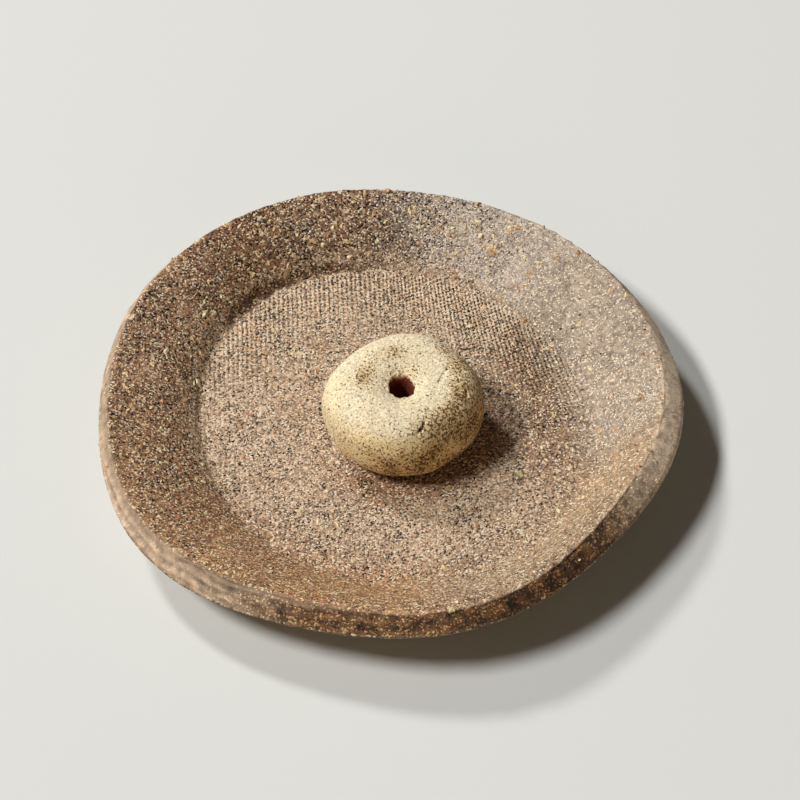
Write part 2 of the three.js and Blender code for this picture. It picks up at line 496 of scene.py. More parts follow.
def dish_relief(points, normals):
    """How far each point moves out: hand lumps, coarse grain, cloth print, torn edges and chips."""
    face, under, wall, strength, held = zones(points, normals)
    angle, out = polar(points)
    across, along = threads_at(points[:, 0], points[:, 1])
    strength = strength * np.clip(0.9 + 1.6 * rough(points, 5, 5), 0.05, 1.5)
    across = across + 0.18 * rough(points, 4, 89)
    along = along + 0.25 * rough(points, 4, 97)
    columns, rows = np.cos(2 * math.pi * across), np.cos(2 * math.pi * along)
    weave = np.cos(math.pi * across) * np.cos(math.pi * along)
    relief = -strength * (COLUMN_DEPTH_MM * columns + ROW_DEPTH_MM * rows + WEAVE_DEPTH_MM * weave)
    relief += 0.14 * rough(points, 13, 11) + (0.05 + 0.09 * wall) * rough(points, 4.5, 17)
    relief += (0.035 + 0.06 * wall) * rough(points, 1.5, 23) + 0.04 * rough(points, 0.75, 29)
    relief = relief * (1 - held) - 0.01 * held
    step = smooth(2.6, 0.4, np.abs(out - floor_edge(angle) + 0.4)) * pressed(angle)
    relief += 0.25 * step * rough(points, 1.8, 107) - CREVICE_DEPTH_MM * step_band(points)
    cut = -0.3 - 0.16 * rough(points, 3.2, 31) - 0.14 * rough(points, 1.2, 37)
    smoother = -0.06 - 0.08 * rough(points, 4, 109)
    cut = between(cut, smoother, toward(angle, SMOOTH_SIDE, 0.8, 0.97))
    relief = between(relief, cut + RIDGE_HEIGHT_MM * rim_ridges(points), face)
    torn = 0.24 + 0.22 * toward(angle, TORN_SIDE, 0.5, 0.85)
    relief += (torn * rough(points, 1.4, 41) - 0.1) * smooth(1.1, 0.2, from_crest(points))
    for side, size, depth in CHIPS:
        turn = math.radians(side)
        chip_out, chip_up = rim_crest(turn)
        chip = np.array((chip_out * math.cos(turn), chip_out * math.sin(turn), chip_up))
        relief -= depth * smooth(size, 0.3 * size, np.linalg.norm(points - chip, axis=1))
    relief -= CRACK_DEPTH_MM * crack_mask(points)
    below = -0.12 - 0.12 * rough(points, 2.5, 43)
    return between(relief, below * smooth(0, 0.6, points[:, 2]), under)


def step_band(points):
    """1 in the torn crevice at the foot of the step, where the pad's edge sank deepest."""
    angle, out = polar(points)
    away = out - floor_edge(angle) - rough(points, 3.2, 101) - 0.4 * rough(points, 1.2, 103)
    return smooth(-1.7, -0.9, away) * smooth(0.9, -0.2, away) * toward(angle, STEP_SIDE, 0.86, 0.97)


RUBBED_SIDE = -150
BRITTLE_SIDE = -74


def rubbed(points, normals):
    """1 where handling wore the rim smooth: along the crest, and down the face at the left."""
    face, under = zones(points, normals)[:2]
    reach = 0.4 + 1.9 * toward(polar(points)[0], RUBBED_SIDE, 0.35, 0.9) * (0.35 + 0.65 * face)
    return smooth(reach, 0.4 * reach, from_crest(points) + 0.5 * rough(points, 2, 53)) * (1 - under)


def coarseness(points, normals):
    """How strongly the sand stands out: most at the left and back, where the pad tore the skin."""
    face, _, wall, _, _ = zones(points, normals)
    angle = polar(points)[0]
    side = 0.4 + 0.6 * toward(angle, COARSE_SIDE, -0.2, 0.75)
    side = side + 0.3 * toward(angle, GRITTY_SIDE, 0.2, 0.9)
    rim = 0.08 + 0.5 * toward(angle, BRITTLE_SIDE, 0.62, 0.88)
    rim = rim + 0.2 * toward(angle, SMOOTH_SIDE, 0.8, 0.97)
    coarse = between(between(0.85, side, wall), rim, face) * (1 + 0.3 * rough(points, 6, 71))
    return np.clip(coarse * (1 - 0.5 * rubbed(points, normals)), 0, 1.25)


FLOOR_COLOUR = np.array((0.74, 0.505, 0.322))
FLOOR_BROWN = np.array((0.32, 0.185, 0.103))
WALL_DARK = np.array((0.51, 0.278, 0.15))
WALL_PALE = np.array((0.52, 0.40, 0.295))
WALL_WARM = np.array((0.56, 0.29, 0.135))
WALL_SANDY = np.array((0.52, 0.345, 0.20))
RIM_COLOUR = np.array((0.52, 0.37, 0.245))
RIM_PINK = np.array((0.94, 0.69, 0.48))
RIM_BROWN = np.array((0.26, 0.13, 0.056))
RUBBED_COLOUR = np.array((0.38, 0.265, 0.17))
UNDER_COLOUR = np.array((0.36, 0.22, 0.125))
# The parts of red, green and blue that a darkening takes away, two of them painted shade. A pale bloom
# adds them.
DARKER_FACE_LOSS = (0.4, 0.45, 0.55)
DARKER_BACK_LOSS = (0.2, 0.25, 0.3)
BLOOMED_LOSS = (-0.2, -0.26, -0.34)
# Painted shade: the loss in the torn crevice at the foot of the step.
CREVICE_SHADE_LOSS = (0.7, 0.76, 0.8)
# Painted shadow: the loss in front of the holder.
HOLDER_SHADOW_LOSS = (0.38, 0.5, 0.58)


def with_colour_loss(tint, mask, loss):
    return tint * (1 - np.outer(mask, loss))


def dish_tint(points, normals):
    """The clay's mean colour: darker at the back left, pinkish grey at the right, warmer in front."""
    face, under, wall, _, _ = zones(points, normals)
    angle, out = polar(points)
    drift = rough(points, 16, 47)
    drifted = angle + 0.3 * drift
    brown = smooth(0.2, 0.85, out / floor_edge(angle)) * toward(drifted, BROWN_SIDE, 0.74, 0.96)
    floor = between(FLOOR_COLOUR, FLOOR_BROWN, (0.85 * brown)[:, None])
    side = between(WALL_DARK, WALL_PALE, toward(drifted, PALE_SIDE, 0.15, 0.75)[:, None])
    side = between(side, WALL_WARM, toward(drifted, WARM_SIDE, 0.1, 0.8)[:, None])
    side = between(side, WALL_SANDY, toward(angle + 0.2 * drift, SANDY_SIDE, 0.7, 0.97)[:, None])
    tint = between(floor, side, wall[:, None])
    rim = between(RIM_COLOUR, RIM_PINK, toward(angle, PINK_SIDE, 0.86, 0.98)[:, None])
    rim = between(rim, RIM_BROWN, toward(angle, RIM_BROWN_SIDE, 0.66, 0.9)[:, None])
    front = toward(angle, BRITTLE_SIDE, 0.62, 0.88)
    # The rim's face is darker at the front right.
    rim = with_colour_loss(rim, toward(angle, DARKER_FACE_SIDE, 0.88, 0.99), DARKER_FACE_LOSS)
    mottled = 1 + (0.45 + 0.7 * front) * rough(points, 1.5, 137) + 0.5 * front * rough(points, 4, 139)
    rim = rim * np.maximum(mottled + 0.2 * rim_ridges(points), 0.15)[:, None]
    tint = between(tint, rim, face[:, None])
    left = toward(angle, RUBBED_SIDE, 0.35, 0.9)
    tint = between(tint, RUBBED_COLOUR, (0.75 * left * rubbed(points, normals))[:, None])
    torn = smooth(1.5, 0.3, from_crest(points) + 0.7 * rough(points, 1.4, 127))
    torn = torn * toward(angle, FRONT_RIGHT, 0.5, 0.85)
    tint = tint * (1 + 0.3 * torn * (1 - face))[:, None]
    # The wall is darker towards the back.
    tint = with_colour_loss(tint, wall * toward(angle, DARKER_BACK_SIDE, 0.8, 0.97), DARKER_BACK_LOSS)
    tint = with_colour_loss(tint, wall * toward(angle, BLOOMED_SIDE, 0.9, 0.99), BLOOMED_LOSS)
    # Painted shade darkens the torn crevice at the foot of the step.
    tint = with_colour_loss(tint, step_band(points), CREVICE_SHADE_LOSS)
    # A painted shadow darkens the clay in front of the holder, and it stays when the holder is lifted.
    around, away = polar(points - HOLDER_PLACE_MM)
    painted_holder_shadow = smooth(21, 14, away) * toward(around, HOLDER_SHADOW_SIDE, -0.2, 0.7)
    tint = with_colour_loss(tint, painted_holder_shadow, HOLDER_SHADOW_LOSS)
    return between(tint, UNDER_COLOUR, under[:, None])


def store(mesh, name, kind, values):
    """Keeps one value or colour for each vertex of a mesh, for its material and its scattering."""
    layer = mesh.attributes.new(name, kind, "POINT")
    if kind == "FLOAT_COLOR":
        values = np.hstack([values, np.ones((len(values), 1))])
    field = {"FLOAT": "value", "FLOAT_COLOR": "color", "FLOAT_VECTOR": "vector"}[kind]
    layer.data.foreach_set(field, np.ascontiguousarray(values, np.float32).ravel())


def grog_share(points, normals):
    """About 0 to 1, how thickly the grains lie."""
    face, under, wall, _, _ = zones(points, normals)
    angle = polar(points)[0]
    most = 0.25 + 0.8 * wall * toward(angle, GROG_SIDE, 0.0, 0.85)
    most += 0.15 * wall * toward(angle, FRONT_RIGHT, 0.2, 0.9)
    clear = smooth(13, 17, polar(points - HOLDER_PLACE_MM)[1])
    return most * (0.75 + 0.9 * rough(points, 8, 59)) * (1 - 0.7 * face) * (1 - under) * clear


def move_out(made, points, normals, relief, lowest):
    """Moves the mesh's points along their normals by the relief, but not below the lowest height."""
    moved = points + normals * relief[:, None]
    moved[:, 2] = np.maximum(moved[:, 2], lowest)
    made.data.vertices.foreach_set("co", (moved * MM).astype(np.float32).ravel())
    made.data.update()


dish_points, dish_faces = dish_surface()
dish = solid_from("dish_clay", dish_points, dish_faces)
dish_normals = normals_of(dish.data)
move_out(dish, dish_points, dish_normals, dish_relief(dish_points, dish_normals), 0)
_, _, wall, strength, held = zones(dish_points, dish_normals)
direction = polar(dish_points)[0]
thread_counts = np.stack(threads_at(dish_points[:, 0], dish_points[:, 1]) + (0 * direction,), axis=1)
store(dish.data, "tint", "FLOAT_COLOR", dish_tint(dish_points, dish_normals))
store(dish.data, "threads", "FLOAT_VECTOR", thread_counts)
for name, values in (
    ("print", strength * (1 - held)),
    ("crack", crack_mask(dish_points)),
    ("pitted", wall * toward(direction, PALE_SIDE, 0.1, 0.7)),
    ("coarse", coarseness(dish_points, dish_normals)),
    ("grog", grog_share(dish_points, dish_normals)),
):
    store(dish.data, name, "FLOAT", values)


def node(tree, kind, inputs, **settings):
    """Adds a node with its settings, and with its inputs set to a value or joined to a socket."""
    made = tree.nodes.new(kind)
    for name, value in settings.items():
        setattr(made, name, value)
    for name, value in inputs.items():
        if isinstance(value, bpy.types.NodeSocket):
            tree.links.new(value, made.inputs[name])
        else:
            made.inputs[name].default_value = value
    return made


def calculate(tree, operation, a, b):
    return node(tree, "ShaderNodeMath", {0: a, 1: b}, operation=operation).outputs[0]


def plus(tree, a, b):
    return calculate(tree, "ADD", a, b)


def times(tree, a, b):
    return calculate(tree, "MULTIPLY", a, b)


def vectors(tree, operation, a, b, output="Vector"):
    """A vector made from two, or their dot product or the first one's length as output Value."""
    return node(tree, "ShaderNodeVectorMath", {0: a, 1: b}, operation=operation).outputs[output]


def scaled(tree, colour, factor):
    """A colour or vector times a number."""
    inputs = {0: colour, "Scale": factor}
    return node(tree, "ShaderNodeVectorMath", inputs, operation="SCALE").outputs[0]


def mapped(tree, value, low, high, to_low, to_high, interpolation="LINEAR"):
    """A value moved from one range to another and held to its ends."""
    ends = {"Value": value, "From Min": low, "From Max": high, "To Min": to_low, "To Max": to_high}
    return node(tree, "ShaderNodeMapRange", ends, interpolation_type=interpolation).outputs[0]


def blend(tree, factor, a, b):
    return node(tree, "ShaderNodeMix", {0: factor, 6: a, 7: b}, data_type="RGBA").outputs[2]


def noise_at(tree, vector, scale, detail=1.0, roughness=0.5):
    inputs = {"Vector": vector, "Scale": scale, "Detail": detail, "Roughness": roughness}
    return node(tree, "ShaderNodeTexNoise", inputs).outputs


def new_group(name, inputs, outputs):
    """An empty shader group with these sockets, each (name, kind), and its input node's sockets."""
    tree = bpy.data.node_groups.new(name, "ShaderNodeTree")
    for way, sockets in (("INPUT", inputs), ("OUTPUT", outputs)):
        for socket, kind in sockets:
            tree.interface.new_socket(socket, in_out=way, socket_type="NodeSocket" + kind)
    return tree, node(tree, "NodeGroupInput", {}).outputs


def make_grains_group():
    """Ragged grains in cells: where they are and a shade for each. Share is the part of cells that
    hold one, Size its radius in cells."""
    sockets = [("Vector", "Vector")]
    sockets += [(name, "Float") for name in ("Scale", "Share", "Size", "Ragged")]
    tree, given = new_group("clay_grains", sockets, [("Mask", "Float"), ("Shade", "Float")])
    bend = noise_at(tree, given["Vector"], times(tree, given["Scale"], 2.3))
    centred = vectors(tree, "SUBTRACT", bend["Color"], (0.5, 0.5, 0.5))
    push = scaled(tree, centred, calculate(tree, "DIVIDE", given["Ragged"], given["Scale"]))
    bent = vectors(tree, "ADD", given["Vector"], push)
    cells = node(tree, "ShaderNodeTexVoronoi", {"Vector": bent, "Scale": given["Scale"]}).outputs
    chance = node(tree, "ShaderNodeSeparateColor", {"Color": cells["Color"]}).outputs
    radius = times(tree, given["Size"], mapped(tree, chance[1], 0.0, 1.0, 0.5, 1.0))
    inner = times(tree, radius, 0.6)
    disc = mapped(tree, cells["Distance"], inner, radius, 1.0, 0.0, "SMOOTHSTEP")
    mask = times(tree, disc, calculate(tree, "LESS_THAN", chance[0], given["Share"]))
    node(tree, "NodeGroupOutput", {"Mask": mask, "Shade": chance[2]})
    return tree


def make_line_group():
    """A thin line from Start to End that wavers and tapers: 1 on it and 0 past its Width."""
    sockets = [("Vector", "Vector"), ("Start", "Vector"), ("End", "Vector"), ("Width", "Float")]
    tree, given = new_group("short_line", sockets, [("Mask", "Float")])
    bend = vectors(tree, "SUBTRACT", noise_at(tree, given["Vector"], 1400.0)["Color"], (0.5, 0.5, 0.5))
    bent = vectors(tree, "ADD", given["Vector"], scaled(tree, bend, 0.0009))
    line = vectors(tree, "SUBTRACT", given["End"], given["Start"])
    from_start = vectors(tree, "SUBTRACT", bent, given["Start"])
    length = vectors(tree, "DOT_PRODUCT", line, line, "Value")
    share = vectors(tree, "DOT_PRODUCT", from_start, line, "Value")
    share = mapped(tree, calculate(tree, "DIVIDE", share, length), 0.0, 1.0, 0.0, 1.0)
    away = vectors(tree, "SUBTRACT", from_start, scaled(tree, line, share))
    taper = times(tree, share, calculate(tree, "SUBTRACT", 1.0, share))
    width = times(tree, given["Width"], mapped(tree, taper, 0.0, 0.2, 0.15, 1.0))
    away = vectors(tree, "LENGTH", away, (0, 0, 0), "Value")
    mask = mapped(tree, away, times(tree, width, 0.4), width, 1.0, 0.0)
    node(tree, "NodeGroupOutput", {"Mask": mask})
    return tree


clay_grains = make_grains_group()
short_line = make_line_group()


def use_group(tree, group, inputs):
    """Places a shared group with its inputs set or joined."""
    return node(tree, "ShaderNodeGroup", inputs, node_tree=group).outputs


def new_clay(name):
    """A new material: itself, its node tree, and the place on the object."""
    clay = bpy.data.materials.new(name)
    clay.use_nodes = True
    tree = clay.node_tree
    return clay, tree, node(tree, "ShaderNodeTexCoord", {}).outputs["Object"]


def finish_clay(tree, colour, roughness, height, bump_mm):
    """Joins the colour, roughness and bump to the material's own surface."""
    bump = node(tree, "ShaderNodeBump", {"Height": height, "Distance": bump_mm * MM, "Strength": 1.0})
    surface = tree.nodes["Principled BSDF"]
    tree.links.new(colour, surface.inputs["Base Color"])
    tree.links.new(roughness, surface.inputs["Roughness"])
    tree.links.new(bump.outputs[0], surface.inputs["Normal"])


def grains(tree, vector, scale, share, size, ragged):
    """Uses the shared grains: their mask and their shade."""
    inputs = {"Vector": vector, "Scale": scale, "Share": share, "Size": size, "Ragged": ragged}
    made = use_group(tree, clay_grains, inputs)
    return made["Mask"], made["Shade"]


def lines(tree, vector, runs, width):
    """The mask of several short lines, each a run of points in millimetres, of this width."""
    mask = 0.0
    for run in runs:
        for start, end in zip(run, run[1:]):
            ends = {"Start": [MM * v for v in start], "End": [MM * v for v in end]}
            found = use_group(tree, short_line, {"Vector": vector, "Width": MM * width, **ends})["Mask"]
            mask = calculate(tree, "MAXIMUM", mask, found)
    return mask


def attribute(tree, name, output="Fac"):
    """A value or colour kept on the mesh."""
    return node(tree, "ShaderNodeAttribute", {}, attribute_name=name).outputs[output]


STONE_LIGHTEST = (0.90, 0.76, 0.57)
STONE_PALE = (0.72, 0.55, 0.38, 1)
STONE_ORANGE = (0.66, 0.38, 0.17, 1)
STONE_CREAM = (0.80, 0.68, 0.48, 1)
STONE_DARK = (0.05, 0.028, 0.016, 1)
STONE_BUMP_MM = 0.16
# Cells in a metre, the part of them that hold a grain, its radius in cells and how ragged it is.
SMALL_GRAINS = (1700.0, 0.3, 0.42, 0.7)
LARGE_GRAINS = (760.0, 0.36, 0.32, 0.6)
DARK_SPECKS = (1700.0, 0.25, 0.38, 0.8)
PITS = (600.0, 0.5, 0.17, 0.3)
SAND_SCALE = 3600.0
SAND_GLINT = 5.4
SAND_HOLLOW = 0.85
BASE_LIGHT = 0.98
PRINT_LIGHT = 0.35
THREAD_SHADE = 0.2
SCRATCHES = (
    ((-46.8, 14.7, 13.2), (-44.5, 10.0, 12.1)),
    ((-36.5, -23.4, 10.6), (-33.3, -26.9, 10.2)),
    ((-34.6, -15.6, 8.3), (-33.1, -17.3, 7.8)),
)
SCRATCH_WIDTH_MM = 0.16
RIM_CRACKS = (
    ((-37.3, -38.4, 11.5), (-33.1, -40.4, 13.1), (-29.5, -42.0, 13.8)),
    ((-29.6, -43.0, 12.5), (-26.0, -44.9, 12.4), (-20.5, -47.6, 11.6)),
)

stoneware, tree, place = new_clay("brown_stoneware_clay")
coarse = attribute(tree, "coarse")
broad = noise_at(tree, place, 90.0, 3.0)[0]
clumps = noise_at(tree, place, 700.0, 2.0)[0]
cells = node(tree, "ShaderNodeTexVoronoi", {"Vector": place, "Scale": SAND_SCALE}).outputs
sand = node(tree, "ShaderNodeSeparateColor", {"Color": cells["Color"]}).outputs
# The sand's speckle: bright glints, with painted shade in the hollows and in the gaps between grains.
glints = mapped(tree, sand[0], 0.8, 0.97, 0.0, SAND_GLINT)
hollows = mapped(tree, sand[0], 0.36, 0.06, 0.0, SAND_HOLLOW)
dust = mapped(tree, sand[1], 0.0, 1.0, -0.4, 0.1)
gaps = mapped(tree, cells["Distance"], 0.35, 0.75, 0.0, 0.3)
sifted = calculate(tree, "SUBTRACT", plus(tree, glints, dust), plus(tree, hollows, gaps))
sifted = times(tree, sifted, coarse)
broad = mapped(tree, broad, 0.3, 0.7, 0.86, 1.14)
light = times(tree, broad, mapped(tree, clumps, 0.3, 0.7, 0.75, 1.25))
light = times(tree, light, plus(tree, BASE_LIGHT, sifted))
colour = scaled(tree, attribute(tree, "tint", "Color"), light)
small, small_shade = grains(tree, place, *SMALL_GRAINS)
large, large_shade = grains(tree, place, *LARGE_GRAINS)
specks, _ = grains(tree, place, *DARK_SPECKS)
pits, _ = grains(tree, place, *PITS)
pits = times(tree, pits, attribute(tree, "pitted"))
cracks = attribute(tree, "crack")
for runs in (RIM_CRACKS, SCRATCHES):
    cracks = calculate(tree, "MAXIMUM", cracks, lines(tree, place, runs, SCRATCH_WIDTH_MM))
colour = blend(tree, times(tree, specks, times(tree, coarse, 0.85)), colour, STONE_DARK)
strong = times(tree, mapped(tree, small_shade, 0.0, 1.0, 0.1, 0.85), coarse)
colour = blend(tree, times(tree, small, strong), colour, STONE_PALE)
grog_colour = blend(tree, mapped(tree, large_shade, 0.3, 0.7, 0.0, 1.0), STONE_ORANGE, STONE_CREAM)
colour = blend(tree, times(tree, large, times(tree, coarse, 0.8)), colour, grog_colour)
threads = node(tree, "ShaderNodeSeparateXYZ", {"Vector": attribute(tree, "threads", "Vector")}).outputs
turns = [times(tree, count, 2 * math.pi) for count in threads[:2]]
columns, rows = (calculate(tree, "COSINE", turn, 0.0) for turn in turns)
uneven = mapped(tree, noise_at(tree, place, 1300.0)[0], 0.3, 0.7, -0.6, 0.6)
cloth = plus(tree, plus(tree, columns, times(tree, rows, 0.6)), uneven)
print_strength = attribute(tree, "print")
cloth = times(tree, mapped(tree, cloth, 0.2, 1.3, 0.0, 1.0), print_strength)
bright = plus(tree, 1.0, times(tree, print_strength, PRINT_LIGHT))
colour = scaled(tree, colour, times(tree, bright, mapped(tree, cloth, 0.0, 1.0, 1.0, THREAD_SHADE)))
dark = calculate(tree, "MAXIMUM", pits, times(tree, cracks, 0.5))
colour = blend(tree, dark, colour, STONE_DARK)
colour = vectors(tree, "MINIMUM", colour, STONE_LIGHTEST)
height = calculate(tree, "SUBTRACT", times(tree, sifted, 0.5), cloth)
for part, rise in ((small, 0.5), (large, 0.7), (specks, -0.8), (pits, -1.8), (cracks, -1.2)):
    height = plus(tree, height, times(tree, part, rise))
finish_clay(tree, colour, mapped(tree, sand[0], 0.0, 1.0, 0.97, 0.85), height, STONE_BUMP_MM)
dish.data.materials.append(stoneware)
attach(dish, "dish")
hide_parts("dish")

# Grog. Crushed fired clay that was kneaded into the slab: pale, orange and brown grains, half a
# millimetre to two across and few of them large, sunk in the surface and thickest at the back left.
GRAIN_LEAST_MM = 0.45
GRAIN_MOST_MM = 1.7
GRAIN_SINK = 0.12
GRAINS_PER_SQUARE_CM = 52.0
GRAIN_SEED = 7
GRAIN_SIDES = (("X", 0.4, 0.62, 13), ("Y", 0.26, 0.46, 14), ("Z", 0.18, 0.32, 15))
FEW_LARGE = 1.8
RAGGED_SCALE = 1900.0
RAGGED_MM = 1.3
GROG_BUMP_MM = 0.1
GROG_SHADES = (
    (0.0, (0.42, 0.21, 0.10, 1)),
    (0.3, (0.68, 0.42, 0.23, 1)),
    (0.6, (0.76, 0.55, 0.28, 1)),
    (1.0, (0.86, 0.72, 0.47, 1)),
)


def input_of(tree, name):
    """The identifier of a tree's input socket, which a modifier sets it by."""
    items = tree.interface.items_tree
    return next(item.identifier for item in items if item.name == name and item.in_out == "INPUT")


def random_between(tree, low, high, seed):
    inputs = {2: low, 3: high, "Seed": seed}
    return node(tree, "FunctionNodeRandomValue", inputs, data_type="FLOAT").outputs[1]


def moved_by(tree, geometry, offset):
    return node(tree, "GeometryNodeSetPosition", {"Geometry": geometry, "Offset": offset}).outputs[0]


def make_scatter_tree():
    """Scatters squashed, ragged grains over a surface where its grog attribute is high."""
    tree = bpy.data.node_groups.new("scattered_grains", "GeometryNodeTree")
    kinds = (("Surface", "Geometry"), ("Density", "Float"), ("Least", "Float"), ("Most", "Float"),
             ("Sink", "Float"), ("Seed", "Int"), ("Finish", "Material"))
    for name, kind in kinds:
        tree.interface.new_socket(name, in_out="INPUT", socket_type="NodeSocket" + kind)
    tree.interface.new_socket("Grains", in_out="OUTPUT", socket_type="NodeSocketGeometry")
    given = node(tree, "NodeGroupInput", {}).outputs
    share = node(tree, "GeometryNodeInputNamedAttribute", {"Name": "grog"}, data_type="FLOAT")
    density = times(tree, given["Density"], share.outputs["Attribute"])
    spots = node(tree, "GeometryNodeDistributePointsOnFaces",
                 {"Mesh": given["Surface"], "Density": density, "Seed": given["Seed"]}).outputs
    chance = calculate(tree, "POWER", random_between(tree, 0.0, 1.0, 11), FEW_LARGE)
    across = mapped(tree, chance, 0.0, 1.0, given["Least"], given["Most"])
    offset = scaled(tree, spots["Normal"], times(tree, times(tree, across, given["Sink"]), -1.0))
    sunk = moved_by(tree, spots["Points"], offset)
    spin = node(tree, "ShaderNodeCombineXYZ", {"Z": random_between(tree, 0.0, 2 * math.pi, 12)})
    spin = node(tree, "FunctionNodeEulerToRotation", {0: spin.outputs[0]}).outputs[0]
    turn = {0: spots["Rotation"], 1: spin}
    turn = node(tree, "FunctionNodeRotateRotation", turn, rotation_space="LOCAL").outputs[0]
    sides = {axis: random_between(tree, least, most, seed) for axis, least, most, seed in GRAIN_SIDES}
    size = scaled(tree, node(tree, "ShaderNodeCombineXYZ", sides).outputs[0], across)
    grain = node(tree, "GeometryNodeMeshIcoSphere", {"Radius": 1.0, "Subdivisions": 1}).outputs["Mesh"]
    placed = {"Points": sunk, "Instance": grain, "Rotation": turn, "Scale": size}
    placed = node(tree, "GeometryNodeInstanceOnPoints", placed).outputs[0]
    kept = {"Geometry": placed, "Name": "shade", "Value": random_between(tree, 0.0, 1.0, 16)}
    kept = node(tree, "GeometryNodeStoreNamedAttribute", kept, data_type="FLOAT", domain="INSTANCE")
    real = node(tree, "GeometryNodeRealizeInstances", {"Geometry": kept.outputs[0]}).outputs[0]
    ragged = node(tree, "ShaderNodeTexNoise", {"Scale": RAGGED_SCALE, "Detail": 1.0}).outputs["Color"]
    ragged = scaled(tree, vectors(tree, "SUBTRACT", ragged, (0.5, 0.5, 0.5)), RAGGED_MM * MM)
    chipped = {"Geometry": moved_by(tree, real, ragged), "Shade Smooth": False}
    chipped = node(tree, "GeometryNodeSetShadeSmooth", chipped).outputs[0]
    finished = node(tree, "GeometryNodeSetMaterial", {"Geometry": chipped, "Material": given["Finish"]})
    node(tree, "NodeGroupOutput", {0: finished.outputs[0]})
    return tree


grog_clay, tree, place = new_clay("crushed_fired_clay")
fine = noise_at(tree, place, 2600.0, 1.5)[0]
ramp = node(tree, "ShaderNodeValToRGB", {"Fac": attribute(tree, "shade")})
while len(ramp.color_ramp.elements) < len(GROG_SHADES):
    ramp.color_ramp.elements.new(0.5)
for stop, (at, shade_colour) in zip(ramp.color_ramp.elements, GROG_SHADES):
    stop.position = at
    stop.color = shade_colour
colour = scaled(tree, ramp.outputs["Color"], mapped(tree, fine, 0.35, 0.65, 0.55, 1.3))
finish_clay(tree, colour, mapped(tree, fine, 0.3, 0.7, 0.9, 0.75), fine, GROG_BUMP_MM)

scatter_tree = make_scatter_tree()
scattered = bpy.data.objects.new("grog_source", dish.data)
scene.collection.objects.link(scattered)
modifier = scattered.modifiers.new("grains", "NODES")
modifier.node_group = scatter_tree
settings = {
    "Density": GRAINS_PER_SQUARE_CM * 1e4,
    "Least": GRAIN_LEAST_MM * MM,
    "Most": GRAIN_MOST_MM * MM,
    "Sink": GRAIN_SINK,
    "Seed": GRAIN_SEED,
    "Finish": grog_clay,
}
for name, value in settings.items():
    modifier[input_of(scatter_tree, name)] = value
evaluated = scattered.evaluated_get(bpy.context.evaluated_depsgraph_get())
grog_mesh = bpy.data.meshes.new_from_object(evaluated)
bpy.data.objects.remove(scattered)
grog_mesh.materials.clear()
grog_mesh.materials.append(grog_clay)
grog_mesh.polygons.foreach_set("material_index", np.zeros(len(grog_mesh.polygons), np.int32))
grog = bpy.data.objects.new("dish_grog", grog_mesh)
scene.collection.objects.link(grog)
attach(grog, "dish")

# Stick holder. A pebble of pale buff clay, rolled in the palm, with a dimple thumbed in its top and a
# hole for the stick poked right through. It is fired bare and lies loose on the dish.
HOLDER_RADIUS_MM = 14.2
HOLDER_HEIGHT_MM = 14
HOLDER_CREST_MM = 7.6
HOLDER_FULLNESS = 0.66
DIMPLE_DEPTH_MM = 1.1
HOLE_DIAMETER_MM = 4.4
MOUTH_DIAMETER_MM = 5.2
MOUTH_DEPTH_MM = 1.4
HOLE_BREAK_MM = 0.4
HOLDER_SWELLS = ((2, 0.3, 32), (3, 0.2, -39), (4, 0.3, -2))
HOLE_SHIFT = ((1, 0.65, -120),)
MOUTH_SWELLS = ((2, 0.3, 90),)
HOLE_PLACE_MM = HOLDER_PLACE_MM - (0.33, 0.56, 0)
DIRTY_SHADED_SIDE = -42
SMEARED_SIDE = -15
DIMPLE_SIDE = 140
LIP_SIDE = 110
BOUNCE_SIDE = -60
HOLDER_STEPS = 330
BASE_RINGS = 7
FLANK_RINGS = 45
DIMPLE_RINGS = 24
FLARE_RINGS = 10
HOLE_RINGS = 16
HOLDER_CRACK_DEPTH_MM = 0.3
HOLDER_CRACK_WIDTH_MM = 0.34
HOLDER_CRACKS = (
    ((7.6, -12.9, 19.0), (7.3, -13.8, 18.7), (6.4, -14.8, 18.3)),
    ((12.0, 0.0, 19.4), (10.9, -2.2, 19.5), (10.2, -3.8, 19.4)),
    ((15.1, -5.1, 18.7), (15.2, -6.2, 18.4)),
    ((8.5, -10.0, 19.5), (8.0, -10.9, 19.4)),
)


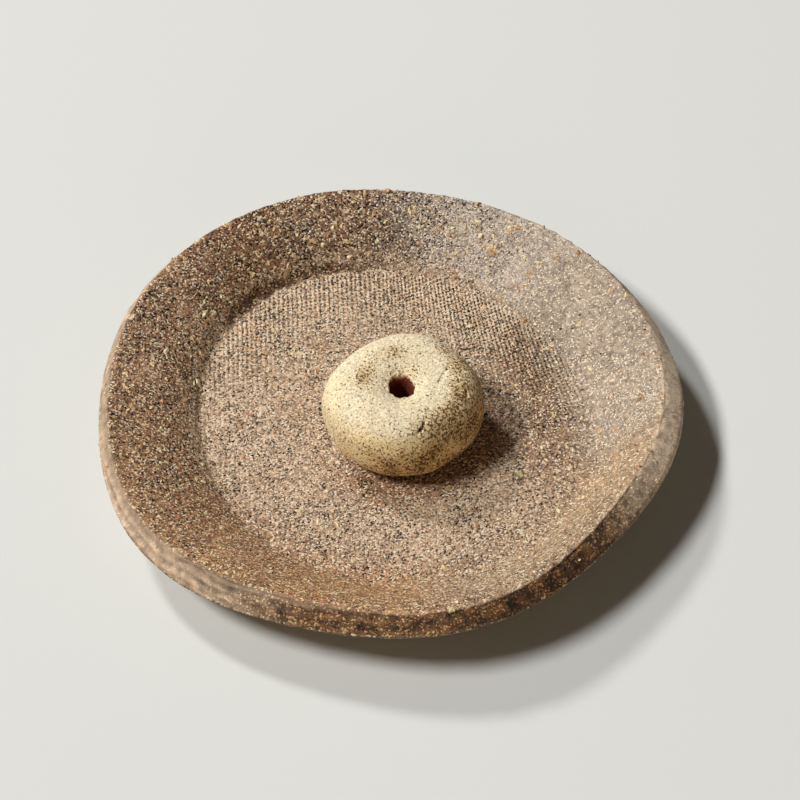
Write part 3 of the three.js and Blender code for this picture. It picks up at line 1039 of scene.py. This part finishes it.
def holder_rings(angle):
    """Rings from the hole's lower edge over the base, flank and dimple, and back down the hole."""

    def at(out, up):
        return np.stack([out + 0 * angle, up + 0 * angle])

    waist = at(HOLDER_RADIUS_MM + swell(angle, HOLDER_SWELLS), HOLDER_HEIGHT_MM / 2)
    crest = at(HOLDER_CREST_MM, HOLDER_HEIGHT_MM)
    bulge = crest[0] + HOLDER_FULLNESS * (waist[0] - crest[0])
    throat_out = HOLE_DIAMETER_MM / 2 + swell(angle, HOLE_SHIFT)
    flared = (MOUTH_DIAMETER_MM - HOLE_DIAMETER_MM) / 2 + swell(angle, MOUTH_SWELLS)
    mouth = at(throat_out + flared, HOLDER_HEIGHT_MM - DIMPLE_DEPTH_MM)
    throat = at(throat_out, mouth[1] - MOUTH_DEPTH_MM)
    hole_end = at(throat_out, HOLE_BREAK_MM)
    base_edge = at(throat_out + HOLE_BREAK_MM, 0)
    base_rim = at(HOLDER_CREST_MM, 0)
    low_handle = at(waist[0], waist[1] * (1 - HOLDER_FULLNESS))
    high_handle = at(waist[0], waist[1] * (1 + HOLDER_FULLNESS))
    lower_flank = (base_rim, at(bulge, 0), low_handle, waist)
    upper_flank = (waist, high_handle, at(bulge, crest[1]), crest)
    first = at((crest[0] + mouth[0]) / 2, crest[1])
    second = at(0.2 * crest[0] + 0.8 * mouth[0], mouth[1] + 0.45 * DIMPLE_DEPTH_MM)
    lip = at(throat_out, mouth[1] - 0.5)
    stretches = (
        ((base_edge, base_rim), BASE_RINGS),
        (lower_flank, FLANK_RINGS),
        (upper_flank, FLANK_RINGS),
        ((crest, first, second, mouth), DIMPLE_RINGS),
        ((mouth, lip, throat), FLARE_RINGS),
        ((throat, hole_end), HOLE_RINGS),
    )
    rings = [hole_end, base_edge]
    for curve, count in stretches:
        rings += [bezier(curve, share) for share in np.linspace(0, 1, count + 1)[1:]]
    return rings[:-1]


def holder_surface():
    """The holder as one closed net round its hole, before its finer relief: points and faces."""
    angle = np.arange(HOLDER_STEPS) * 2 * math.pi / HOLDER_STEPS
    rings = holder_rings(angle)
    points = HOLDER_PLACE_MM + np.concatenate([turned(angle, ring) for ring in rings])
    faces = []
    for ring in range(len(rings)):
        a, b = ring * HOLDER_STEPS, (ring + 1) % len(rings) * HOLDER_STEPS
        for s in range(HOLDER_STEPS):
            t = (s + 1) % HOLDER_STEPS
            faces.append([a + s, a + t, b + t, b + s])
    return points, faces


def near_run(points, run):
    """Distance of each point to a run of straight stretches."""
    nearest = np.full(len(points), 1e9)
    for start, end in zip(np.array(run), np.array(run)[1:]):
        line = end - start
        share = np.clip((points - start) @ line / (line @ line), 0, 1)
        nearest = np.minimum(nearest, np.linalg.norm(points - start - share[:, None] * line, axis=1))
    return nearest


def holder_relief(points):
    """How far each point moves: palm lumps, grain, the ragged mouth of the hole and short cracks."""
    up = points[:, 2] - FLOOR_HEIGHT_MM
    relief = 0.22 * rough(points, 7, 3) + 0.1 * rough(points, 3, 7)
    relief += 0.05 * rough(points, 1.3, 13) + 0.035 * rough(points, 0.6, 19)
    off_hole = polar(points - HOLE_PLACE_MM)[1]
    inside = smooth(3.6, 2.6, off_hole) * smooth(9, 12, up)
    relief += inside * (0.3 * rough(points, 1.2, 67) + 0.15 * rough(points, 0.6, 73))
    for run in HOLDER_CRACKS:
        relief -= HOLDER_CRACK_DEPTH_MM * smooth(0.4, 0.1, near_run(points, run))
    hole = smooth(2.8, 2.3, off_hole)
    return relief * smooth(0, 1.2, up) * (1 - 0.5 * hole * smooth(11, 9, up))


def holder_dirt_and_shade(points, normals):
    """0 to 1, how thickly dark specks and stains lie: low at the right, round the dimple, behind the
    hole. Low at the front right they are partly painted shade.
    """
    around, out = polar(points - HOLDER_PLACE_MM)
    up = points[:, 2] - FLOOR_HEIGHT_MM
    # Low on the front right, away from the lamps, the specks and stains are partly painted shade.
    low = smooth(0.8, -0.1, normals[:, 2]) * (0.2 + 0.65 * toward(around, DIRTY_SHADED_SIDE, -0.4, 0.9))
    right = smooth(6, 12, out) * toward(around, SMEARED_SIDE, -0.1, 0.9) * 0.8
    arc = smooth(3.0, 0.6, np.abs(out - 7.0)) * toward(around, DIMPLE_SIDE, 0.1, 0.9)
    lip = smooth(5.2, 2.8, out) * toward(around, LIP_SIDE, -0.4, 0.7) * smooth(8, 12, up)
    cloudy = 0.5 + 0.9 * rough(points, 3.5, 83)
    return np.clip(np.maximum.reduce([low, right, 0.5 * arc, 0.5 * lip]) * (0.6 + 0.8 * cloudy), 0, 1)


holder_points, holder_faces = holder_surface()
holder = solid_from("stick_holder_clay", holder_points, holder_faces)
holder_normals = normals_of(holder.data)
move_out(holder, holder_points, holder_normals, holder_relief(holder_points), FLOOR_HEIGHT_MM)
store(holder.data, "dirt_and_shade", "FLOAT", holder_dirt_and_shade(holder_points, holder_normals))
# Painted reflected light: the lower flank, most on the front right, is tinted yellow as if lit from the
# brown dish.
painted_bounce = toward(polar(holder_normals)[0], BOUNCE_SIDE, -0.2, 0.8)
painted_bounce = smooth(0.9, 0.4, holder_normals[:, 2]) * (0.3 + 0.7 * painted_bounce)
store(holder.data, "painted_bounce", "FLOAT", np.clip(painted_bounce + 0.2 * rough(holder_points, 4, 113), 0, 1))
# Where the hole's painted shade lies: inside the hole, below its mouth.
depth = FLOOR_HEIGHT_MM + HOLDER_HEIGHT_MM - DIMPLE_DEPTH_MM - holder_points[:, 2]
off_hole = polar(holder_points - HOLE_PLACE_MM)[1]
store(holder.data, "inside", "FLOAT", smooth(3.5, 2.8, off_hole) * smooth(-0.1, 0.7, depth))

BUFF = (0.90, 0.755, 0.51, 1)
BUFF_BOUNCE = (0.99, 0.755, 0.39, 1)
BUFF_GREY = (0.90, 0.75, 0.49, 1)
BUFF_STAINED = (0.95, 0.67, 0.33, 1)
SMEARED = (0.50, 0.30, 0.10, 1)
DIRT = (0.12, 0.055, 0.012, 1)
HOLE_SHADE = (0.21, 0.042, 0.012, 1)
CRACK_DIRT = (0.03, 0.015, 0.006, 1)
BUFF_BUMP_MM = 0.12
SPECKLE_SCALE = 2200.0

buff_clay, tree, place = new_clay("bare_buff_clay")
dirt_and_shade = attribute(tree, "dirt_and_shade")
inside = attribute(tree, "inside")
clouds = noise_at(tree, place, 160.0, 3.0)[0]
fine = noise_at(tree, place, 2600.0, 1.5, 0.6)[0]
speckle = noise_at(tree, place, SPECKLE_SCALE, 2.0, 0.7)[1]
speckle = node(tree, "ShaderNodeSeparateColor", {"Color": speckle}).outputs[1]
colour = blend(tree, mapped(tree, clouds, 0.38, 0.62, 0.0, 1.0), BUFF, BUFF_GREY)
# Painted reflected light warms the lower flank.
colour = blend(tree, attribute(tree, "painted_bounce"), colour, BUFF_BOUNCE)
# Stains and specks, partly painted shade low on the front right.
colour = blend(tree, mapped(tree, dirt_and_shade, 0.25, 0.9, 0.0, 0.7), colour, BUFF_STAINED)
smears = mapped(tree, noise_at(tree, place, 900.0, 2.0)[0], 0.42, 0.6, 0.0, 0.75)
smears = times(tree, smears, mapped(tree, dirt_and_shade, 0.3, 1.0, 0.0, 1.0))
colour = blend(tree, smears, colour, SMEARED)
colour = scaled(tree, colour, mapped(tree, fine, 0.35, 0.65, 0.72, 1.22))
spots = plus(tree, speckle, times(tree, dirt_and_shade, 0.15))
spots = mapped(tree, spots, 0.625, 0.67, 0.0, 1.0)
cracks = lines(tree, place, HOLDER_CRACKS, HOLDER_CRACK_WIDTH_MM)
colour = blend(tree, times(tree, spots, 0.95), colour, DIRT)
# Painted shade, with a painted reddish reflection, fills the inside of the hole.
colour = blend(tree, inside, colour, HOLE_SHADE)
colour = blend(tree, cracks, colour, CRACK_DIRT)
height = plus(tree, fine, times(tree, spots, -0.5))
height = plus(tree, height, times(tree, cracks, -1.5))
finish_clay(tree, colour, mapped(tree, fine, 0.3, 0.7, 0.98, 0.9), height, BUFF_BUMP_MM)
holder.data.materials.append(buff_clay)
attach(holder, "holder")
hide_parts("stick_holder")
